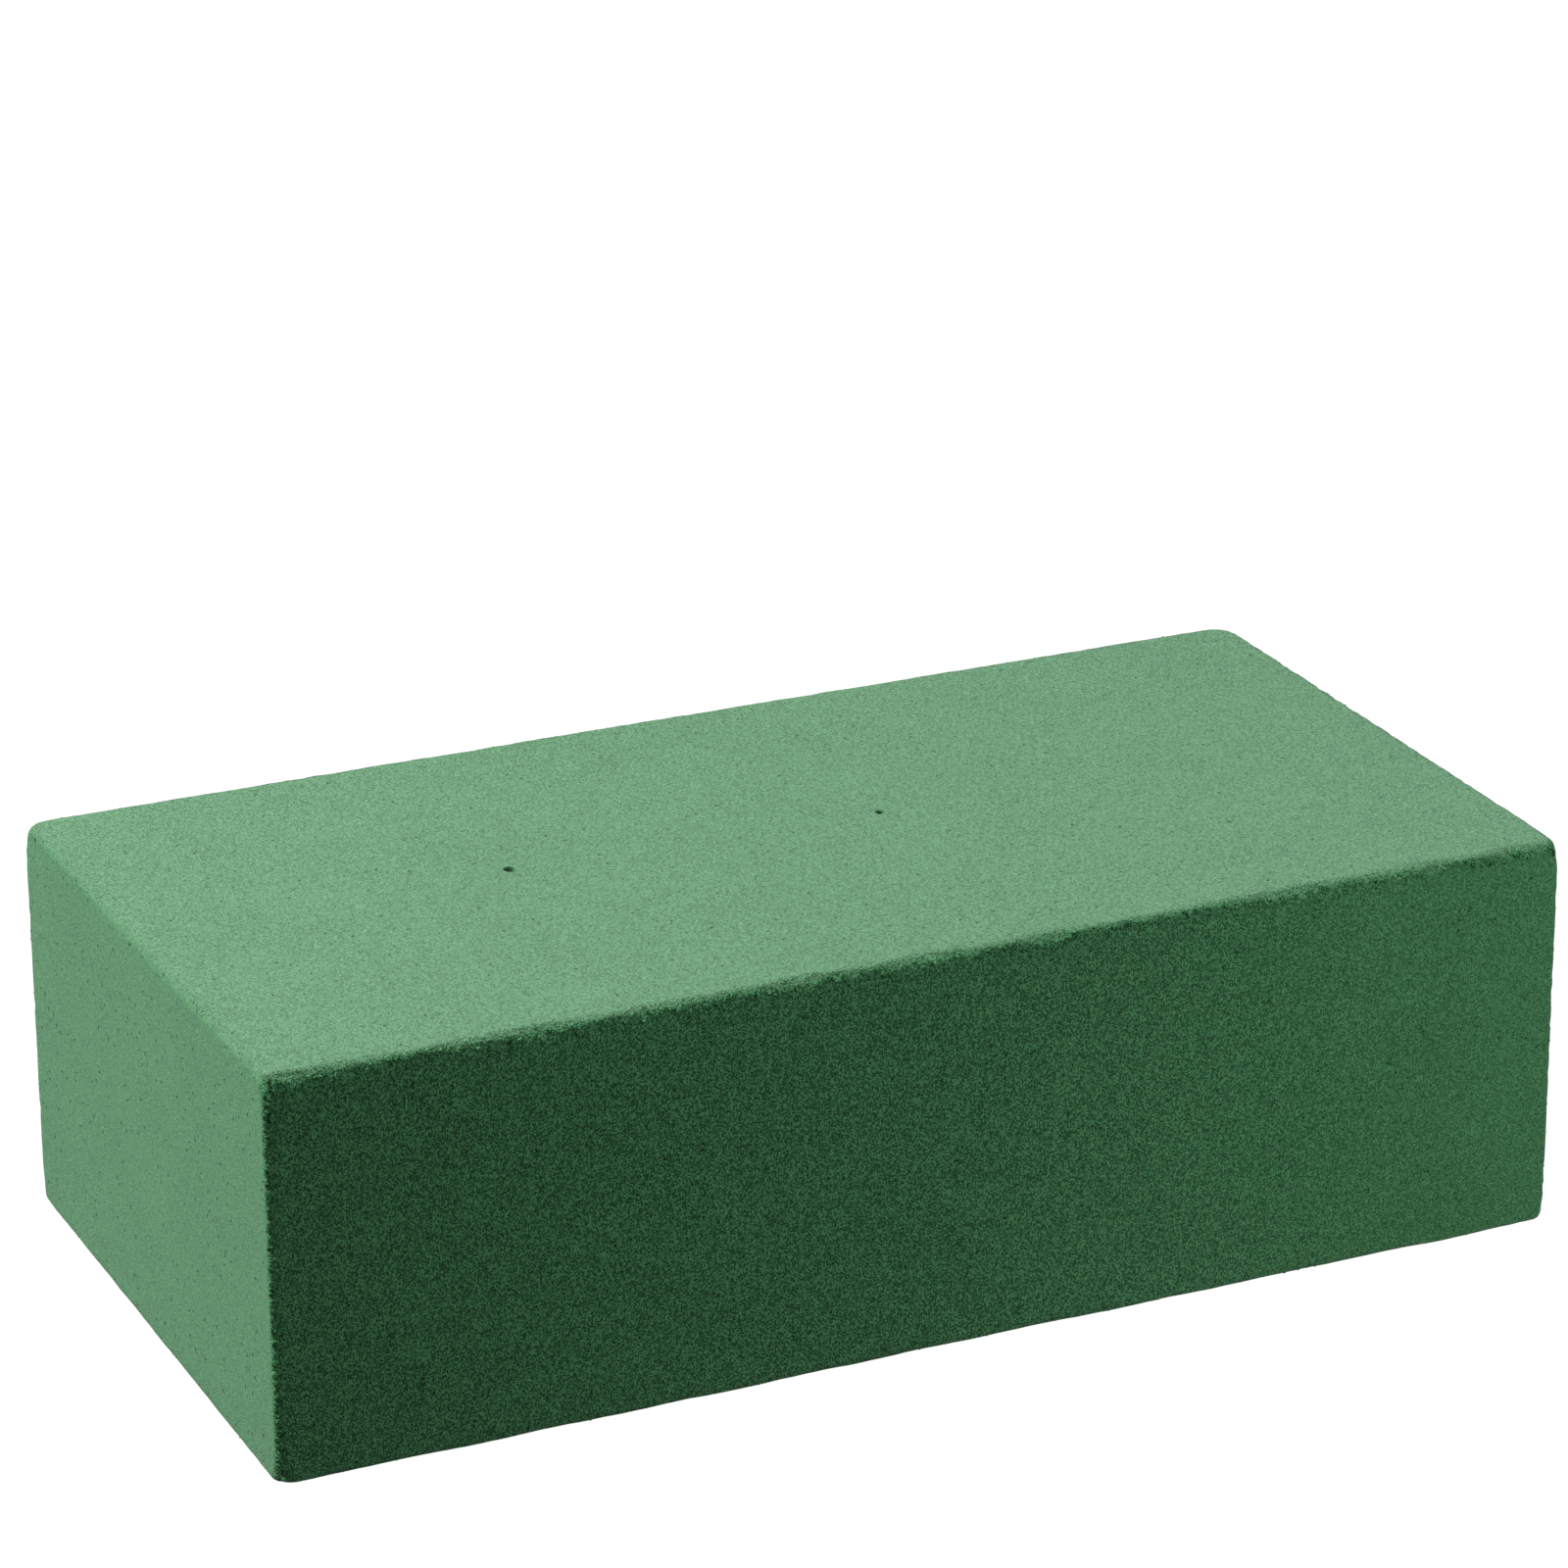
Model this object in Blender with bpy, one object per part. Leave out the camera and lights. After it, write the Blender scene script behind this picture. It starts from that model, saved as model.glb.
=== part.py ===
"""Floral foam brick: one sawn block of green open-cell phenolic foam.

The brick is a single piece of foam with nothing inside it. Its upright edges and its
top and bottom rims are lightly rubbed, and the top face has two narrow blind holes
where flower stems have been pushed in and pulled out again.

Frame: metres, +Z up. The origin is the middle of the face that the brick rests on,
+X runs along its length and +Y towards its back.
"""

import math

import bmesh
import bpy

MM = 0.001

# The block, in millimetres.
BRICK_LENGTH = 230.0
BRICK_DEPTH = 118.0
BRICK_HEIGHT = 70.0

# Its edges. A rim is the line where a side meets the top or the bottom.
UPRIGHT_EDGE_RADIUS = 2.0
UPRIGHT_EDGE_SEGMENTS = 8
RIM_RADIUS = 1.6
RIM_SEGMENTS = 4

# Stem holes: x and y from the middle of the top face, bore and depth, in millimetres.
STEM_HOLES = (
    {"name": "thick_stem_hole", "x": -48.5, "y": 4.5, "bore": 2.0, "depth": 38.0},
    {"name": "thin_stem_hole", "x": 18.0, "y": 1.5, "bore": 1.6, "depth": 32.0},
)
HOLE_TIP_LENGTH = 2.5  # the pointed end that a slanting stem cut leaves
HOLE_LIP_WIDTH = 0.2  # foam crushed outwards round the mouth
HOLE_LIP_DEPTH = 0.5
HOLE_SIDES = 16
CUTTER_OVERSHOOT = 2.0  # how far a cutter stands above the face that it cuts

# Dry phenolic foam: chalky, matt and never metallic.
FOAM_COLOUR = (0.150, 0.330, 0.185, 1.0)
FOAM_ROUGHNESS = 0.95
FOAM_METALLIC = 0.0

SAME_PLACE = 1e-6  # metres; two heights closer than this are one


def clear_scene():
    """Removes whatever the file was opened with."""
    for leftover in list(bpy.data.objects):
        bpy.data.objects.remove(leftover, do_unlink=True)


def new_object(name, bm):
    """Turns bm into an object in the scene's own collection, and frees bm."""
    mesh = bpy.data.meshes.new(name)
    bm.to_mesh(mesh)
    bm.free()
    thing = bpy.data.objects.new(name, mesh)
    bpy.context.scene.collection.objects.link(thing)
    return thing


def foam_material():
    """Sage green, fully matt foam."""
    material = bpy.data.materials.new("floral_foam")
    material.use_nodes = True
    shader = material.node_tree.nodes["Principled BSDF"]
    shader.inputs["Base Color"].default_value = FOAM_COLOUR
    shader.inputs["Roughness"].default_value = FOAM_ROUGHNESS
    shader.inputs["Metallic"].default_value = FOAM_METALLIC
    material.diffuse_color = FOAM_COLOUR
    return material


def is_upright(edge):
    """True for an edge that runs from the bottom of the block to its top."""
    low, high = sorted(corner.co.z for corner in edge.verts)
    return high - low > SAME_PLACE


def is_rim(edge):
    """True for an edge round the outside of the top or bottom face."""
    heights = [corner.co.z for corner in edge.verts]
    level = abs(heights[0] - heights[1]) < SAME_PLACE
    caps = [abs(face.normal.z) > 0.5 for face in edge.link_faces]
    return level and caps.count(True) == 1


def round_edges(bm, edges, radius, segments):
    """Replaces each edge with a tangent arc of the given radius."""
    bmesh.ops.bevel(
        bm,
        geom=edges,
        offset=radius,
        offset_type="OFFSET",
        segments=segments,
        profile=0.5,
        affect="EDGES",
        clamp_overlap=True,
    )


def sawn_block():
    """The block with its edges rounded, standing on Z = 0."""
    bm = bmesh.new()
    bmesh.ops.create_cube(bm, size=1.0)
    size = (BRICK_LENGTH * MM, BRICK_DEPTH * MM, BRICK_HEIGHT * MM)
    bmesh.ops.scale(bm, vec=size, verts=bm.verts)
    bmesh.ops.translate(bm, vec=(0.0, 0.0, BRICK_HEIGHT * MM / 2), verts=bm.verts)
    uprights = [edge for edge in bm.edges if is_upright(edge)]
    round_edges(bm, uprights, UPRIGHT_EDGE_RADIUS * MM, UPRIGHT_EDGE_SEGMENTS)
    bm.normal_update()
    rims = [edge for edge in bm.edges if is_rim(edge)]
    round_edges(bm, rims, RIM_RADIUS * MM, RIM_SEGMENTS)
    bmesh.ops.recalc_face_normals(bm, faces=bm.faces)
    return new_object("foam_brick", bm)


def hole_profile(hole):
    """Radius and height above the mouth, in millimetres, from the tip up."""
    bore_radius = hole["bore"] / 2
    mouth_radius = bore_radius + HOLE_LIP_WIDTH
    return (
        (bore_radius, -hole["depth"] + HOLE_TIP_LENGTH),
        (bore_radius, -HOLE_LIP_DEPTH),
        (mouth_radius, 0.0),
        (mouth_radius, CUTTER_OVERSHOOT),
    )


def ring(bm, radius, height):
    """A level ring of HOLE_SIDES vertices about the Z axis; radius and height in millimetres."""
    turns = [2 * math.pi * side / HOLE_SIDES for side in range(HOLE_SIDES)]
    return [
        bm.verts.new((radius * math.cos(a) * MM, radius * math.sin(a) * MM, height * MM))
        for a in turns
    ]


def stem_cutter(hole):
    """A pointed peg with a flared collar, standing in the place of a pushed-in stem."""
    bm = bmesh.new()
    tip = bm.verts.new((0.0, 0.0, -hole["depth"] * MM))
    rings = [ring(bm, radius, height) for radius, height in hole_profile(hole)]
    for side in range(HOLE_SIDES):
        after = (side + 1) % HOLE_SIDES
        bm.faces.new((tip, rings[0][after], rings[0][side]))
        for lower, upper in zip(rings, rings[1:]):
            bm.faces.new((lower[side], lower[after], upper[after], upper[side]))
    bm.faces.new(rings[-1])
    bmesh.ops.recalc_face_normals(bm, faces=bm.faces)
    cutter = new_object(hole["name"] + "_cutter", bm)
    cutter.location = (hole["x"] * MM, hole["y"] * MM, BRICK_HEIGHT * MM)
    cutter.hide_render = True
    cutter.display_type = "WIRE"
    return cutter


def pierce(brick, hole):
    """Cuts one blind stem hole down into the top of the brick."""
    cut = brick.modifiers.new(hole["name"], "BOOLEAN")
    cut.operation = "DIFFERENCE"
    cut.solver = "EXACT"
    cut.object = stem_cutter(hole)


def main():
    clear_scene()
    brick = sawn_block()
    brick.data.materials.append(foam_material())
    brick.data.shade_smooth()
    brick.data.set_sharp_from_angle(angle=math.radians(30.0))
    for hole in STEM_HOLES:
        pierce(brick, hole)


main()
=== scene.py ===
import math

import bpy
import numpy as np
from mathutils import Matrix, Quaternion, Vector


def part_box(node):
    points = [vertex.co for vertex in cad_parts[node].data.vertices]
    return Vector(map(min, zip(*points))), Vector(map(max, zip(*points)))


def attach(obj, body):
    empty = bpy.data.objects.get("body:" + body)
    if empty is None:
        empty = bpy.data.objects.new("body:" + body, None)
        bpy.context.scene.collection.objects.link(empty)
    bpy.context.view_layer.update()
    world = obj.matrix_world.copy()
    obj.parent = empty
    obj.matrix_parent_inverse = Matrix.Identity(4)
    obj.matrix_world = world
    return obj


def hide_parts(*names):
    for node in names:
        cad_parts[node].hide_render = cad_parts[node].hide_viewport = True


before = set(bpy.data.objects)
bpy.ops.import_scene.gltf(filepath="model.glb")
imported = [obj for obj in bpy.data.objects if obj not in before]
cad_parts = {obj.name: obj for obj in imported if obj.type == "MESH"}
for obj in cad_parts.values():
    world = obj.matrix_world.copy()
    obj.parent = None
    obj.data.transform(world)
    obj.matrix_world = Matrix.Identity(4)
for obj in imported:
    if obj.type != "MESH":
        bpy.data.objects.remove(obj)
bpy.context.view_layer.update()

# One generator for everything that varies; the order of its draws fixes the look of the brick.
foamDice = np.random.default_rng(1207)

mm = 0.001
sameHeight = 1e-9  # two heights closer than this are one
noLength = 1e-12  # keeps a division from failing


# The camera

cameraLook = {
    "aim": (0.00506, 0.01248, 0.07317),  # just above the middle of the top face
    "turn": 24.34,  # degrees away from looking straight at the front
    "tilt": 21.37,  # degrees downwards
    "roll": -0.31,
    "distance": 1.04,
    "lens": 140.65,
    "sensor": 36.0,
    "nearest": 0.05,
    "farthest": 80.0,
}


def addCamera(look):
    turn = math.radians(look["turn"])
    tilt = math.radians(look["tilt"])
    level = math.cos(tilt)
    ahead = Vector((math.sin(turn) * level, math.cos(turn) * level, -math.sin(tilt)))
    data = bpy.data.cameras.new("studioCamera")
    data.lens = look["lens"]
    data.sensor_width = look["sensor"]
    data.clip_start = look["nearest"]
    data.clip_end = look["farthest"]
    camera = bpy.data.objects.new("studioCamera", data)
    bpy.context.scene.collection.objects.link(camera)
    roll = Quaternion((0.0, 0.0, 1.0), math.radians(look["roll"]))
    camera.rotation_mode = "QUATERNION"
    camera.rotation_quaternion = ahead.to_track_quat("-Z", "Y") @ roll
    camera.location = Vector(look["aim"]) - ahead * look["distance"]
    bpy.context.scene.camera = camera


# Noise and easing on whole arrays

noiseTable = {
    "size": 24,  # cells before the noise repeats, each way
    "shift": 7.3,  # table sizes from the origin, so that nothing lines up with the brick's middle
}


def noiseField(cell):
    # Random numbers on a cubic grid of the given cell, eased between its corners: -1 to 1.
    size = noiseTable["size"]
    table = foamDice.uniform(-1.0, 1.0, (size, size, size))

    def field(points):
        place = points / cell + size * noiseTable["shift"]
        base = np.floor(place).astype(int)
        part = place - base
        part = part**3 * (part * (part * 6.0 - 15.0) + 10.0)
        total = np.zeros(len(points))
        for step in np.ndindex(2, 2, 2):
            share = np.where(step, part, 1.0 - part).prod(axis=1)
            total += share * table[tuple(((base + step) % size).T)]
        return total

    return field


def noiseLayers(layers):
    # A noise field for each cell size, with its share.
    return [(noiseField(cell), share) for cell, share in layers]


def layered(layers, points, middle=0.0, lowest=-1.0):
    # The middle value plus each layer's noise, held above the lowest, times its share.
    total = middle
    for field, share in layers:
        total = total + share * np.maximum(field(points), lowest)
    return total


def ease(x):
    # 0 below 0, 1 above 1, and smooth between them.
    x = np.clip(x, 0.0, 1.0)
    return x * x * (3.0 - 2.0 * x)


# The foam block

brick = {
    "uprightRadius": 0.8 * mm,  # rounding of the four upright edges, in plan
    "cornerWear": (((3.4, 2.6), (2.0, 3.0)), ((1.8, 2.4), (3.2, 4.4))),  # mm; see uprightRounding
    "cornerReach": 7.5 * mm,  # how far along an upright edge a corner's wear goes
    "cornerEase": 1.5,  # above 1 the wear keeps closer to the corner
    "rimRadius": 1.6 * mm,  # rounding where a long side meets the top
    "raggedRadius": 2.3 * mm,  # the front one is rounder
    "raggedBand": 6.0 * mm,  # and gives way to the plain one this far back
    "endRimRadius": 1.3 * mm,  # rounding where an end meets the top
    "endBand": 5.0 * mm,  # it turns into a long side's over this much at a corner
    "bottomRimRadius": 0.8 * mm,  # the bottom edges are sharper
    "bottomCalm": 1.3 * mm,  # and crumble as if they were this much further in
    "bottomBand": 4.0 * mm,  # which ends this far up
    "topGrowth": 0.25,  # the rims are rounder by this share at the corners
    "bottomGrowth": 0.7,
    "growthBand": 7.0 * mm,  # how far from a corner that begins
    "rimSpread": 0.18,  # how far a rim's rounding wanders along it, as a share
    "raggedSpread": 0.50,  # and on the front top edge, the most ragged one
    "rimLimits": (0.5 * mm, 3.5 * mm),  # the smallest and the largest that it may get
    "rimNoise": ((11.0 * mm, 1.0), (11.0 * mm / 3, 0.6)),  # cell size and share of each layer
    "edgeCell": 0.33 * mm,  # grid spacing at the edges
    "faceCell": 1.5 * mm,  # and in the middle of a face
    "edgeFlat": 2.6 * mm,  # the fine spacing is kept this far in
    "edgeBand": 10.0 * mm,  # and has grown to the coarse one here
    "swell": 0.05 * mm,  # slow unevenness of the sawn faces
    "swellNoise": ((42.0 * mm, 0.3), (13.0 * mm, 0.2)),
    "grit": 0.04 * mm,  # broken cells
    "gritNoise": ((3.1 * mm, 0.25), (1.7 * mm, 0.25)),
    "crumble": 0.20 * mm,  # how deep the edges have crumbled away
    "crumbleBand": 2.2 * mm,
    "biteNoise": ((1.5 * mm, 1.0), (0.8 * mm, 0.8)),
    "roughCut": (0.24, 1.0, 0.40),  # how coarse the ends, the long sides and the top and bottom are
    "calmer": 0.72,  # the long sides are calmer by this much at the right end
    "calmInMiddle": 0.20,  # how far that has come half way along, before easing
    "leftPaintedLight": 0.16,  # painted light: the left half of the top, nearer the key light, is paler by up to this share
    "endDustAndPaintedLight": 0.25,  # both ends are paler: dust, and painted light as on the lit left end
    "leftRimPaintedLight": 0.7,  # painted light on the rim of the left end, which faces the key light
    "rightSidePaintedLight": 0.20,  # painted light: a paler haze at the right end of the long sides, where the fill light falls
}

stemHoles = {
    "holes": (
        {"x": -48.5 * mm, "y": 4.5 * mm, "bore": 2.0 * mm, "depth": 38.0 * mm},
        {"x": 18.0 * mm, "y": 1.5 * mm, "bore": 1.6 * mm, "depth": 32.0 * mm},
    ),
    "window": 8,  # grid cells taken out round a hole, each way
    "flatRings": 7,  # rings from the window's edge to the mouth
    "flatEase": 0.8,  # below 1 they lie closer together near the mouth
    "lip": 0.25 * mm,  # rounding of the mouth
    "lipRings": 4,
    "wallRings": 22,
    "wallEase": 1.5,  # above 1 the rings lie closer together near the mouth
    "tip": 2.5 * mm,  # the pointed end
    "ragged": 0.10,  # unevenness of the bore, as a share of its radius
    "raggedCell": 0.7 * mm,
    "raggedFade": 1.5,  # how quickly it fades away from the mouth
    "dent": 0.12 * mm,  # foam pressed down round the mouth
    "dentReach": 0.8 * mm,
    "dentFade": 0.3,  # the outer share of the window over which the dent ends
    "reliefFade": 2.0 * mm,  # depth in the bore at which a third of the top face's relief is left
}

rimNoise = noiseLayers(brick["rimNoise"])
swellNoise = noiseLayers(brick["swellNoise"])
gritNoise = noiseLayers(brick["gritNoise"])
biteNoise = noiseLayers(brick["biteNoise"])
boreNoise = noiseField(stemHoles["raggedCell"])


def gridLines(half):
    # Places from -half to half; the step grows from fine at both ends to coarse towards the middle.
    fine, coarse, flat, band = brick["edgeCell"], brick["faceCell"], brick["edgeFlat"], brick["edgeBand"]
    steps = [0.0]
    while steps[-1] < half:
        grown = min(1.0, max(0.0, steps[-1] - flat) / (band - flat))
        steps.append(steps[-1] + fine + (coarse - fine) * grown)
    inset = np.array(steps) * half / steps[-1]
    return np.concatenate([inset - half, (half - inset)[::-1][1:]])


def quads(grid):
    # The cells of a grid of point numbers, facing along first axis x second axis.
    return np.stack([grid[:-1, :-1], grid[1:, :-1], grid[1:, 1:], grid[:-1, 1:]], axis=-1)


def boxLattice(lines):
    # The outside of a box-shaped lattice: its points, then the top and the five other sides as grids
    # of point numbers that face out.
    counts = [len(line) for line in lines]
    outside = np.ones(counts, bool)
    outside[1:-1, 1:-1, 1:-1] = False
    number = np.full(counts, -1)
    number[outside] = np.arange(outside.sum())
    at = np.argwhere(outside)
    points = np.stack([lines[axis][at[:, axis]] for axis in range(3)], axis=1)
    top = number[:, :, -1]
    others = (number[:, :, 0].T, number[-1], number[0].T, number[:, -1].T, number[:, 0])
    return points, top, others


def uprightRounding(sharp, half):
    # The plan radius: small along an upright edge, growing to a corner's wear at the top and the bottom.
    # The wear is kept as left and right, each front and back, each bottom and top.
    right, back, top = (sharp > 0).astype(int).T
    worn = (np.array(brick["cornerWear"]) * mm)[right, back, top]
    drop = half[2] - np.abs(sharp[:, 2])
    near = ease(1.0 - drop / brick["cornerReach"]) ** brick["cornerEase"]
    return brick["uprightRadius"] + (worn - brick["uprightRadius"]) * near


def rimRounding(sharp, half):
    # The rim's radius: by side and height, larger at the corners, times one plus a slow wander.
    gaps = half[:2] - np.abs(sharp[:, :2])
    below = sharp[:, 2] < 0
    atEnd = ease((gaps[:, 1] - gaps[:, 0]) / brick["endBand"] + 0.5)
    ragged = ease(1.0 - (sharp[:, 1] + half[1]) / brick["raggedBand"])
    sideRadius = brick["rimRadius"] + (brick["raggedRadius"] - brick["rimRadius"]) * ragged
    radius = sideRadius + (brick["endRimRadius"] - sideRadius) * atEnd
    radius = np.where(below, brick["bottomRimRadius"], radius)
    growth = np.where(below, brick["bottomGrowth"], brick["topGrowth"])
    nearCorner = ease(1.0 - np.linalg.norm(gaps, axis=1) / brick["growthBand"])
    radius = radius * (1.0 + growth * nearCorner)
    spread = brick["rimSpread"] + (brick["raggedSpread"] - brick["rimSpread"]) * ragged
    return np.clip(radius * (1.0 + spread * layered(rimNoise, sharp)), *brick["rimLimits"])


def roundedBlock(sharp, half):
    # Moves points of a sharp box onto the block. In plan each square corner region is drawn in to a
    # quarter disc; the right angle between a side and a cap is bent over an arc of radius rim.
    # Gives places and normals.
    rim = rimRounding(sharp, half)
    inner = half[:2] - uprightRounding(sharp, half)[:, None]
    side = np.where(sharp[:, :2] < 0, -1.0, 1.0)
    flat = np.abs(sharp[:, :2])
    past = flat - inner
    corner = (past > 0).all(axis=1)[:, None]
    radial = past / np.maximum(np.linalg.norm(past, axis=1), noLength)[:, None]
    gaps = half[:2] - flat
    straight = (gaps == gaps.min(axis=1)[:, None]).astype(float)
    outward = np.where(corner, radial, straight)
    spread = np.where(corner, inner + radial * past.max(axis=1)[:, None], flat)
    inset = np.maximum(gaps.min(axis=1), 0.0)
    drop = half[2] - np.abs(sharp[:, 2])
    onCap = drop < sameHeight
    share = np.where(onCap, 0.5 + 0.5 * inset / rim, 0.5 - 0.5 * drop / rim)
    angle = np.clip(share, 0.0, 1.0) * math.pi / 2
    bent = (share > 0.0) & (share < 1.0)
    newInset = np.where(bent, rim * (1.0 - np.cos(angle)), inset)
    newDrop = np.where(bent, rim * (1.0 - np.sin(angle)), drop)
    spread = spread + outward * (inset - newInset)[:, None]
    up = np.where(sharp[:, 2] < 0, -1.0, 1.0)
    places = np.column_stack([spread * side, up * (half[2] - newDrop)])
    normals = np.column_stack([outward * side * np.cos(angle)[:, None], up * np.sin(angle)])
    return places, normals


def foamRelief(places, edge):
    # How far the surface lies under the sawn plane: slow swell, grit, and crumbling towards the edges.
    swell = layered(swellNoise, places, middle=0.5)
    grit = layered(gritNoise, places, middle=0.5)
    bites = layered(biteNoise, places, lowest=0.0)
    crumble = ease(1.0 - edge / brick["crumbleBand"]) * bites
    return -(brick["swell"] * swell + brick["grit"] * grit + brick["crumble"] * crumble)


def windowLoop(top, hole, sharp):
    # The square of grid cells round a hole: its columns and rows, and the loop of points round it.
    width = stemHoles["window"]
    column = int(np.argmin(np.abs(sharp[top[:, 0], 0] - hole["x"]))) - width // 2
    row = int(np.argmin(np.abs(sharp[top[0], 1] - hole["y"]))) - width // 2
    box = top[column:column + width + 1, row:row + width + 1]
    loop = np.concatenate([box[:-1, 0], box[-1, :-1], box[:0:-1, -1], box[0, :0:-1]])
    return (slice(column, column + width), slice(row, row + width)), loop


def holeRings(hole, loop):
    # Rings of points, in from the window's loop to the mouth, round its lip and down the bore.
    # A ring's radius and depth follow that profile; its points keep the loop's directions from the centre.
    centre = np.array([hole["x"], hole["y"]])
    spoke = loop[:, :2] - centre
    reach = np.linalg.norm(spoke, axis=1)
    along = spoke / reach[:, None]
    bore = hole["bore"] / 2
    lip = stemHoles["lip"]
    mouth = bore + lip
    share = np.linspace(0.0, 1.0, stemHoles["flatRings"] + 1)[1:, None] ** stemHoles["flatEase"]
    flat = reach + (mouth - reach) * share
    turn = np.linspace(0.0, math.pi / 2, stemHoles["lipRings"] + 1)[1:]
    fall = np.linspace(0.0, 1.0, stemHoles["wallRings"] + 1)[1:] ** stemHoles["wallEase"]
    wallDepth = lip + (hole["depth"] - stemHoles["tip"] - lip) * fall
    radii = np.concatenate([mouth - lip * np.sin(turn), np.full(len(fall), bore)])
    radii = np.vstack([flat, np.broadcast_to(radii[:, None], (len(radii), len(loop)))])
    depth = np.concatenate([np.zeros(len(flat)), lip * (1.0 - np.cos(turn)), wallDepth])
    rings = np.empty((*radii.shape, 3))
    rings[..., :2] = centre + along * radii[..., None]
    rings[..., 2] = -depth[:, None]
    # the mouth and the bore are a little ragged
    noise = boreNoise(rings.reshape(-1, 3)).reshape(radii.shape)
    near = ease(1.0 - (radii - mouth) / (reach.min() - mouth) * stemHoles["raggedFade"])
    rings[..., :2] += along * (radii * noise * near * stemHoles["ragged"])[..., None]
    # foam is pressed down round the mouth
    dent = stemHoles["dent"] * np.exp(-np.maximum(radii - mouth, 0.0) / stemHoles["dentReach"])
    fade = ease((reach - radii) / (stemHoles["dentFade"] * reach))
    rings[..., 2] -= dent * fade
    return rings


def sinkHole(hole, loop, sharp, half, count):
    # One stem hole: its points, numbered from count, the quads of its wall and the fan of its tip.
    rings = holeRings(hole, sharp[loop])
    shape = rings.shape[:2]
    flatPoints = rings.reshape(-1, 3) * (1, 1, 0) + (0, 0, half[2])
    sunk = foamRelief(flatPoints, np.full(len(flatPoints), brick["crumbleBand"]))
    rings[..., 2] += half[2] + sunk.reshape(shape) * np.exp(rings[..., 2] / stemHoles["reliefFade"])
    tip = (hole["x"], hole["y"], half[2] - hole["depth"])
    points = np.vstack([rings.reshape(-1, 3), tip])
    grid = np.vstack([loop, count + np.arange(shape[0] * shape[1]).reshape(shape)])
    grid = np.column_stack([grid, grid[:, 0]])
    last = grid[-1]
    fan = np.column_stack([last[:-1], last[1:], np.full(len(loop), count + len(points) - 1)])
    return points, quads(grid.T).reshape(-1, 4), fan


def buildMesh(name, points, faces):
    mesh = bpy.data.meshes.new(name)
    mesh.from_pydata(points.tolist(), [], faces)
    mesh.validate()
    mesh.shade_smooth()
    piece = bpy.data.objects.new(name, mesh)
    bpy.context.scene.collection.objects.link(piece)
    return piece


def addAttribute(piece, name, values):
    made = piece.data.attributes.new(name, "FLOAT", "POINT")
    made.data.foreach_set("value", np.ascontiguousarray(values, dtype=np.float32))


def addFoamAttributes(piece, x, facing, edge):
    # What the material reads, from x as a share of the half length, the normal and the distance to
    # the nearest edge. Roughness follows the face, and so do dust and painted light, which make the lit
    # top and the ends paler; the long sides grow calmer and, with painted light, paler to the right.
    calm = brick["calmInMiddle"]
    along = ease(calm + (1.0 - calm) * x) * facing[:, 1] ** 2
    upwards = np.clip(facing[:, 2], 0.0, 1.0)
    leftwards = np.clip(-x, 0.0, 1.0)
    # Dust and painted light: paler on the lit top, more so to its left, on both ends and on the left end's
    # rim
    dustAndPaintedLight = upwards**3 * (1.0 + brick["leftPaintedLight"] * leftwards) + brick["endDustAndPaintedLight"] * facing[:, 0] ** 2
    # painted light: the rim of the left end, facing the key light, is paler
    dustAndPaintedLight += brick["leftRimPaintedLight"] * np.clip(-facing[:, 0], 0.0, 1.0) * upwards
    addAttribute(piece, "edgeWear", ease(1.0 - edge / brick["crumbleBand"]))
    addAttribute(piece, "roughCut", (facing**2) @ brick["roughCut"] - brick["calmer"] * along)
    # painted light: the long sides are paler towards the right end, where the fill light falls
    addAttribute(piece, "dustAndPaintedLight", dustAndPaintedLight + brick["rightSidePaintedLight"] * along)


def buildBrick(name, half, middle):
    # A box-shaped lattice is rounded and roughened, and each stem hole replaces a window of its top.
    sharp, top, otherSides = boxLattice([gridLines(size) for size in half])
    # a point's smallest inset is 0, so its second one is the distance to the nearest edge
    edge = np.sort(half - np.abs(sharp), axis=1)[:, 1]
    calm = brick["bottomCalm"] * ease(1.0 - (sharp[:, 2] + half[2]) / brick["bottomBand"])
    places, normals = roundedBlock(sharp, half)
    places = places + normals * foamRelief(places, edge + calm)[:, None]
    topFaces = quads(top)
    kept = np.ones(topFaces.shape[:2], bool)
    faces = [quads(grid).reshape(-1, 4) for grid in otherSides]
    tips = []
    for hole in stemHoles["holes"]:
        window, loop = windowLoop(top, hole, sharp)
        points, wall, fan = sinkHole(hole, loop, sharp, half, len(places))
        kept[window] = False
        faces.append(wall)
        tips.append(fan)
        places = np.vstack([places, points])
        normals = np.vstack([normals, np.broadcast_to((0.0, 0.0, 1.0), points.shape)])
        edge = np.concatenate([edge, np.full(len(points), brick["crumbleBand"] * 2)])
    faces.append(topFaces[kept])
    used = np.zeros(len(places), bool)
    for part in faces + tips:
        used[part.ravel()] = True
    newNumber = np.cumsum(used) - 1
    faceList = [face for part in faces + tips for face in newNumber[part].tolist()]
    piece = buildMesh(name, (places + middle)[used], faceList)
    addFoamAttributes(piece, places[used, 0] / half[0], normals[used], edge[used])
    return piece


# Loose crumbs of foam, clinging to the edges and here and there to the faces

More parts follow.
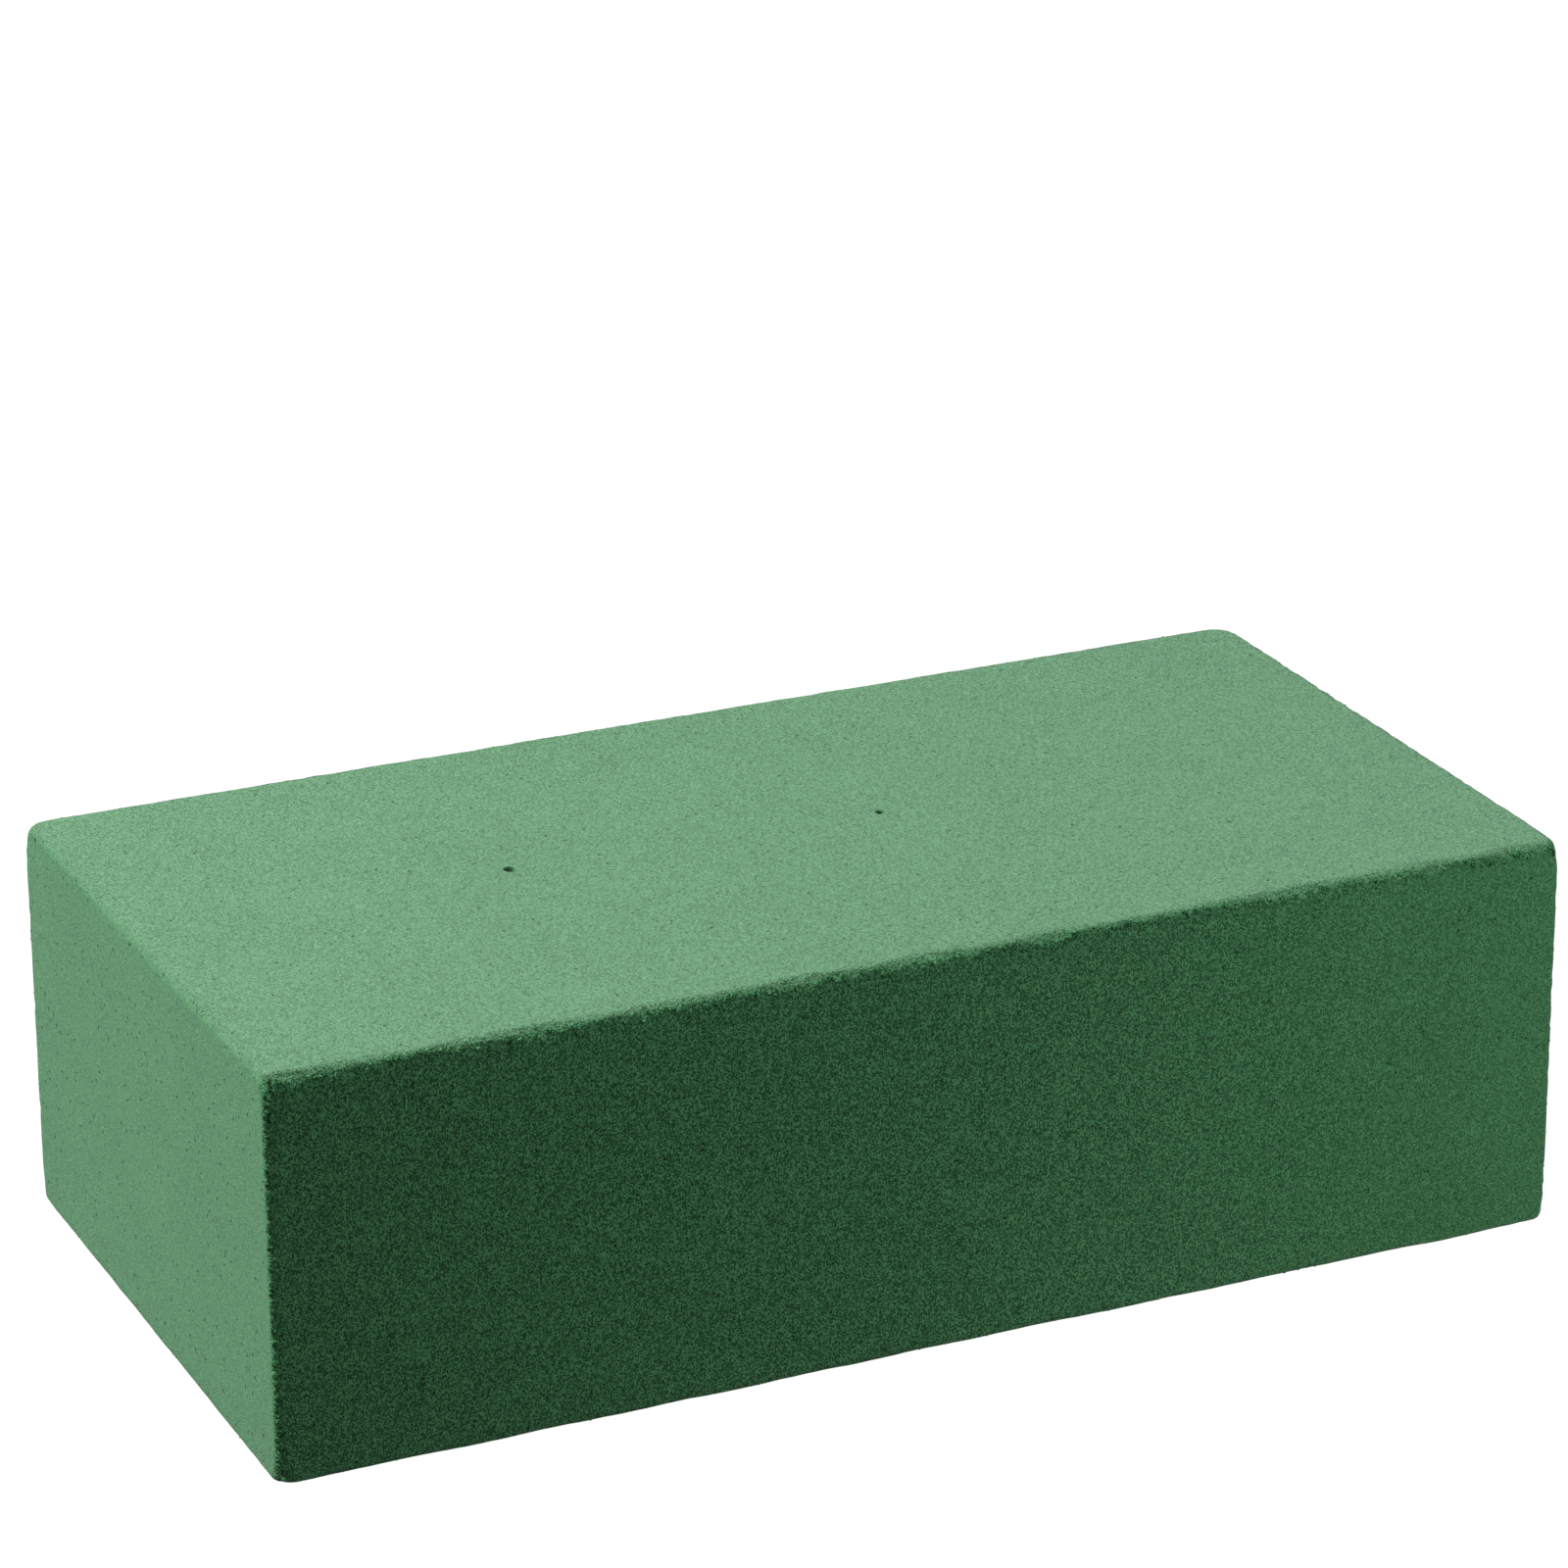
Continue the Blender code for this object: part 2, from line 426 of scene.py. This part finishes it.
crumbs = {
    "onEdges": 3000,
    "onFaces": 400,
    "raggedShare": 0.52,  # share of the edge crumbs that hang in front of the two raggedest edges
    "uprightShare": 0.45,  # share of those that hang by the front left edge, not the front top one
    "spread": 1.1 * mm,  # how far from an edge they lie
    "closer": 0.6,  # those by the front left edge lie at this share of that
    "smallest": 0.18 * mm,  # radius
    "largest": 0.78 * mm,
    "sizeEase": 2.5,  # above 1 most of them are small
    "elsewhere": 0.32,  # the size of the crumbs at the other edges and on the faces, as a share
    "stretch": (0.6, 1.3),
    "bumps": (0.75, 1.2),
    "sunk": 0.2,  # how far the middle lies under the surface, as a share of the radius
    "overhang": (0.10 * mm, 0.50 * mm, 0.10 * mm),  # they stick out of the sawn planes by at most this
    # paler crumbs, partly dust, partly painted light
    "dustAndPaintedLight": 0.2,
}


def crumbSeats(half, look, ragged):
    # Points on the sharp box: some near its edges, some anywhere on its faces.
    count = len(ragged)
    each = np.arange(count)
    axis = foamDice.choice(3, count, p=half / half.sum())
    sign = foamDice.choice([-1.0, 1.0], (count, 3))
    raggedAxis = foamDice.choice([0, 2], count, p=[1.0 - look["uprightShare"], look["uprightShare"]])
    axis = np.where(ragged, raggedAxis, axis)
    sign = np.where(ragged[:, None], (-1.0, -1.0, 1.0), sign)  # the front top edge and the front left one
    seats = sign * half
    seats[each, axis] = foamDice.uniform(-1.0, 1.0, count) * half[axis]
    other = (axis + foamDice.integers(1, 3, count)) % 3
    other = np.where(ragged, 2 - axis, other)  # moves a ragged one in from the edge along the front
    inset = np.abs(foamDice.normal(0.0, look["spread"], count))
    inset = inset * np.where(ragged & (axis == 2), look["closer"], 1.0)
    anywhere = foamDice.uniform(0.0, 2.0, count) * half[other]
    inset = np.where(each < look["onEdges"], inset, anywhere)
    seats[each, other] -= sign[each, other] * inset
    return seats


def roundGrain():
    # The twelve corners of an icosahedron of radius 1, in golden-ratio rectangles, and its faces.
    golden = (1.0 + math.sqrt(5.0)) / 2.0
    pair = np.array([[-1, golden, 0], [1, golden, 0], [-1, -golden, 0], [1, -golden, 0]])
    grain = np.vstack([pair, np.roll(pair, 1, axis=1), np.roll(pair, 2, axis=1)])
    fans = (
        (0, 11, 5), (0, 5, 1), (0, 1, 7), (0, 7, 10), (0, 10, 11),
        (1, 5, 9), (5, 11, 4), (11, 10, 2), (10, 7, 6), (7, 1, 8),
        (3, 9, 4), (3, 4, 2), (3, 2, 6), (3, 6, 8), (3, 8, 9),
        (4, 9, 5), (2, 4, 11), (6, 2, 10), (8, 6, 7), (9, 8, 1),
    )
    return grain / np.linalg.norm(grain[0]), np.array(fans)


def buildCrumbs(name, half, middle, look):
    # Twenty-faced grains, each stretched at random, turned at random and sunk a little into the surface.
    count = look["onEdges"] + look["onFaces"]
    ragged = np.arange(count) < look["onEdges"] * look["raggedShare"]
    places, normals = roundedBlock(crumbSeats(half, look, ragged), half)
    size = foamDice.uniform(0.0, 1.0, count) ** look["sizeEase"]
    size = size * (look["largest"] - look["smallest"]) + look["smallest"]
    size *= np.where(ragged, 1.0, look["elsewhere"])
    sink = foamRelief(places, np.zeros(count)) - size * look["sunk"]
    centres = places + normals * sink[:, None]
    grain, fans = roundGrain()
    turn = np.linalg.qr(foamDice.normal(size=(count, 3, 3)))[0]
    turn[:, :, 0] *= np.sign(np.linalg.det(turn))[:, None]
    stretch = foamDice.uniform(*look["stretch"], (count, 1, 3))
    bumps = foamDice.uniform(*look["bumps"], (count, len(grain), 1))
    corners = (grain * stretch * bumps) @ turn * size[:, None, None] + centres[:, None, :]
    room = np.array(look["overhang"])
    lowest = -half - room * (1.0, 1.0, 0.0)  # none goes into the floor
    corners = np.clip(corners, lowest, half + room) + middle
    faces = fans + len(grain) * np.arange(count)[:, None, None]
    piece = buildMesh(name, corners.reshape(-1, 3), faces.reshape(-1, 3).tolist())
    piece.data.shade_flat()
    everywhere = np.ones(count * len(grain))
    addAttribute(piece, "edgeWear", everywhere)
    addAttribute(piece, "roughCut", everywhere)
    addAttribute(piece, "dustAndPaintedLight", everywhere * look["dustAndPaintedLight"])
    return piece


# Materials

class Wire:
    # One value, colour or vector in a node tree; Python's own signs on it add Math nodes.
    def __init__(self, tree, socket=None):
        self.tree = tree
        self.socket = socket

    def add(self, kind, settings=None, inputs=None, output=0):
        made = self.tree.nodes.new(kind)
        for name, value in (settings or {}).items():
            setattr(made, name, value)
        for name, value in (inputs or {}).items():
            if isinstance(value, Wire):
                self.tree.links.new(value.socket, made.inputs[name])
            else:
                made.inputs[name].default_value = value
        return Wire(self.tree, made.outputs[output])

    def math(self, operation, *values):
        return self.add("ShaderNodeMath", {"operation": operation}, dict(enumerate(values)))

    def __add__(self, other):
        return self.math("ADD", self, other)

    __radd__ = __add__

    def __mul__(self, other):
        return self.math("MULTIPLY", self, other)

    __rmul__ = __mul__

    def __sub__(self, other):
        return self.math("SUBTRACT", self, other)

    def __rsub__(self, other):
        return self.math("SUBTRACT", other, self)

    def smooth(self, low, high):
        # 0 at low, 1 at high, and eased between them
        settings = {"interpolation_type": "SMOOTHSTEP"}
        inputs = {"Value": self, "From Min": low, "From Max": high}
        return self.add("ShaderNodeMapRange", settings, inputs)

    def clamped(self):
        return self.add("ShaderNodeClamp", {}, {"Value": self})

    def stretched(self, factors):
        return self.add("ShaderNodeVectorMath", {"operation": "MULTIPLY"}, {0: self, 1: factors})

    def noise(self, scale, detail, roughness):
        # fractal noise about 0
        inputs = {"Vector": self, "Scale": scale, "Detail": detail, "Roughness": roughness}
        return self.add("ShaderNodeTexNoise", {}, inputs) - 0.5

    def cells(self, output, scale, randomness=1.0):
        # scattered cells: the distance from a cell's middle, or each cell's own random colour
        inputs = {"Vector": self, "Scale": scale, "Randomness": randomness}
        return self.add("ShaderNodeTexVoronoi", {}, inputs, output)

    def channel(self, index):
        return self.add("ShaderNodeSeparateColor", {}, {0: self}, index)

    def blend(self, first, second):
        # a colour between two colours; this wire says how far
        inputs = {0: self, 6: first, 7: second}
        return self.add("ShaderNodeMix", {"data_type": "RGBA"}, inputs, output=2)


foamLook = {
    "deep": (0.018, 0.125, 0.040, 1.0),  # the darkest foam; painted shade inside the pores
    "pale": (0.142, 0.482, 0.198, 1.0),  # ridges
    # the colour of the dust and of the painted light on the lit faces
    "dustAndPaintedLightColour": (0.320, 0.518, 0.355, 1.0),
    "tone": 0.42,  # how pale the foam is on the whole, 0 to 1
    "dustAndPaintedLightCover": 0.30,  # how much of the top face is dust and painted light
    "wearTone": 0.14,  # paler along the edges
    "cloudTone": 0.16,  # how strongly each pattern shows in the colour
    "crumbTone": 2.4,
    # painted shade: grain, cells and pits darken the colour where they sink the relief
    "grainTone": 0.5,
    "cellTone": 2.2,
    "pitPaintedShade": 0.6,
    "cloudScale": 0.045,  # per millimetre, as the others
    "crumbScale": 4.0,
    "grainScale": 4.2,
    "cellScale": 3.0,
    "pitScale": 0.45,
    "streakScale": (0.05, 0.8, 0.8),  # the streaks run along the brick
    "cellRandomness": 0.85,
    "cellMiddle": 0.48,  # the mean distance from a cell's middle
    "pitRim": (0.17, 0.06),  # a pit begins at the first distance and is full at the second
    "pitChance": (0.50, 0.28),  # cells whose random number is under these have a pit
    "pitsOnSmooth": 0.6,  # how much of a pit shows on the smoothest face
    "reliefOnSmooth": 0.3,
    "grainHeight": 0.30,  # millimetres
    "cellHeight": 0.24,
    "pitHeight": 0.5,
    "streakHeight": 0.16,
    "edgeExtra": 1.2,  # relief grows by this share at the edges
    "roughness": 0.95,
    "sheen": 0.30,
    "sheenRoughness": 0.5,
    "sheenTint": (0.82, 1.0, 0.87, 1.0),
}

crumbLook = {**foamLook, "tone": 0.85, "sheen": 0.0}


def foamMaterial(name, look):
    # Height in millimetres and paleness from 0 to 1 are sums of grain, cells, crumbs, streaks and pits,
    # stronger on the rougher cuts; paleness follows the height, which paints shade into the pores and
    # pits; dust and painted light lie over the colour.
    material = bpy.data.materials.new(name)
    material.use_nodes = True
    tree = material.node_tree
    shader = tree.nodes["Principled BSDF"]
    start = Wire(tree)
    metres = start.add("ShaderNodeTexCoord", {}, {}, "Object")
    place = metres.add("ShaderNodeVectorMath", {"operation": "SCALE"}, {0: metres, "Scale": 1.0 / mm})
    wear = start.add("ShaderNodeAttribute", {"attribute_name": "edgeWear"}, {}, "Fac")
    cut = start.add("ShaderNodeAttribute", {"attribute_name": "roughCut"}, {}, "Fac")
    dustAndPaintedLight = start.add("ShaderNodeAttribute", {"attribute_name": "dustAndPaintedLight"}, {}, "Fac")
    grain = place.noise(look["grainScale"], 3.0, 0.65)
    cells = place.cells("Distance", look["cellScale"], look["cellRandomness"]) - look["cellMiddle"]
    streaks = place.stretched(look["streakScale"]).noise(1.0, 2.0, 0.5)
    cloud = place.noise(look["cloudScale"], 3.0, 0.55)
    flecks = place.cells("Color", look["crumbScale"]).channel(1) - 0.5
    pits = place.cells("Distance", look["pitScale"]).smooth(*look["pitRim"])
    pits = pits * place.cells("Color", look["pitScale"]).channel(0).smooth(*look["pitChance"])
    pits = pits * (cut * (1.0 - look["pitsOnSmooth"]) + look["pitsOnSmooth"])
    relief = grain * look["grainHeight"] + cells * look["cellHeight"]
    relief = relief + streaks * dustAndPaintedLight * look["streakHeight"]
    relief = relief * (cut * (1.0 - look["reliefOnSmooth"]) + look["reliefOnSmooth"])
    height = relief * (1.0 + wear * look["edgeExtra"]) - pits * look["pitHeight"]
    bump = start.add("ShaderNodeBump", {}, {"Height": height, "Distance": mm, "Strength": 1.0})
    # painted shade: the colour follows the relief, darker in the pores and pits that it sinks
    tone = flecks * look["crumbTone"] + grain * look["grainTone"] + cells * look["cellTone"]
    tone = tone * cut + cloud * look["cloudTone"] + wear * look["wearTone"]
    paleness = (tone - pits * look["pitPaintedShade"] + look["tone"]).clamped()
    foam = paleness.blend(look["deep"], look["pale"])
    # painted light and dust: the lit top, the ends, the left rim and the right end of the long sides turn
    # paler
    paintedLightAndDustShare = dustAndPaintedLight * look["dustAndPaintedLightCover"] * (paleness + 0.5)
    colour = paintedLightAndDustShare.blend(foam, look["dustAndPaintedLightColour"])
    tree.links.new(colour.socket, shader.inputs["Base Color"])
    tree.links.new(bump.socket, shader.inputs["Normal"])
    shader.inputs["Roughness"].default_value = look["roughness"]
    shader.inputs["Specular IOR Level"].default_value = 0.0
    shader.inputs["Sheen Weight"].default_value = look["sheen"]
    shader.inputs["Sheen Roughness"].default_value = look["sheenRoughness"]
    shader.inputs["Sheen Tint"].default_value = look["sheenTint"]
    return material


# The studio

studio = {
    "floorSize": 30.0,
    "floorGrey": 0.12,
    "floorGlow": 1.0,  # the floor and the sky show as white
    "skyForBrick": 0.075,  # but the sky lights the brick only this much, and the floor not at all
    "keyWay": (-0.605, 0.31, 0.765),  # from the brick to the key light: left, behind and above
    "keyDistance": 1.55,
    "keySize": 0.80,
    "keyPower": 34.4,
    "fillPlace": (0.27, -0.38, 0.08),  # low in front of the right end
    "fillAim": (0.07, -0.059, 0.035),
    "fillSize": 0.22,
    "fillPower": 0.74,
}


def addSoftbox(name, place, aim, size, power):
    data = bpy.data.lights.new(name, "AREA")
    data.shape = "SQUARE"
    data.size = size
    data.energy = power
    light = bpy.data.objects.new(name, data)
    bpy.context.scene.collection.objects.link(light)
    light.location = place
    light.rotation_mode = "QUATERNION"
    light.rotation_quaternion = (Vector(aim) - Vector(place)).to_track_quat("-Z", "Y")
    light.visible_camera = False


def addFloor(look):
    size = look["floorSize"] / 2
    corners = [(-size, -size, 0.0), (size, -size, 0.0), (size, size, 0.0), (-size, size, 0.0)]
    mesh = bpy.data.meshes.new("studioFloor")
    mesh.from_pydata(corners, [], [(0, 1, 2, 3)])
    floor = bpy.data.objects.new("studioFloor", mesh)
    bpy.context.scene.collection.objects.link(floor)
    material = bpy.data.materials.new("paleFloor")
    material.use_nodes = True
    shader = material.node_tree.nodes["Principled BSDF"]
    grey = look["floorGrey"]
    shader.inputs["Base Color"].default_value = (grey, grey, grey, 1.0)
    shader.inputs["Roughness"].default_value = 1.0
    shader.inputs["Specular IOR Level"].default_value = 0.0
    shader.inputs["Emission Color"].default_value = (1.0, 1.0, 1.0, 1.0)
    shader.inputs["Emission Strength"].default_value = look["floorGlow"]
    mesh.materials.append(material)
    floor.visible_diffuse = False
    floor.visible_glossy = False


def addSky(look):
    # White to the camera, and dim to everything else.
    world = bpy.data.worlds.new("studioWorld")
    bpy.context.scene.world = world
    world.use_nodes = True
    tree = world.node_tree
    back = tree.nodes["Background"]
    seen = Wire(tree).add("ShaderNodeLightPath", {}, {}, "Is Camera Ray")
    strength = seen * (1.0 - look["skyForBrick"]) + look["skyForBrick"]
    tree.links.new(strength.socket, back.inputs["Strength"])
    back.inputs["Color"].default_value = (1.0, 1.0, 1.0, 1.0)


def addStudio(look, middle):
    addFloor(look)
    addSky(look)
    keyPlace = middle + Vector(look["keyWay"]) * look["keyDistance"]
    addSoftbox("keySoftbox", keyPlace, middle, look["keySize"], look["keyPower"])
    addSoftbox("fillSoftbox", look["fillPlace"], look["fillAim"], look["fillSize"], look["fillPower"])


print("camera")
addCamera(cameraLook)

print("foam block")
low, high = (np.array(corner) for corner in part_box("foam_brick"))
brickHalf = (high - low) / 2
brickMiddle = (high + low) / 2
foamBlock = buildBrick("foamBlock", brickHalf, brickMiddle)
foamBlock.data.materials.append(foamMaterial("floralFoam", foamLook))
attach(foamBlock, "root")
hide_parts("foam_brick")
print(len(foamBlock.data.polygons), "faces")

print("loose crumbs")
looseCrumbs = buildCrumbs("looseCrumbs", brickHalf, brickMiddle, crumbs)
looseCrumbs.data.materials.append(foamMaterial("foamCrumbs", crumbLook))
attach(looseCrumbs, "root")

print("studio")
addStudio(studio, Vector(brickMiddle))
bpy.context.scene.view_settings.view_transform = "Standard"
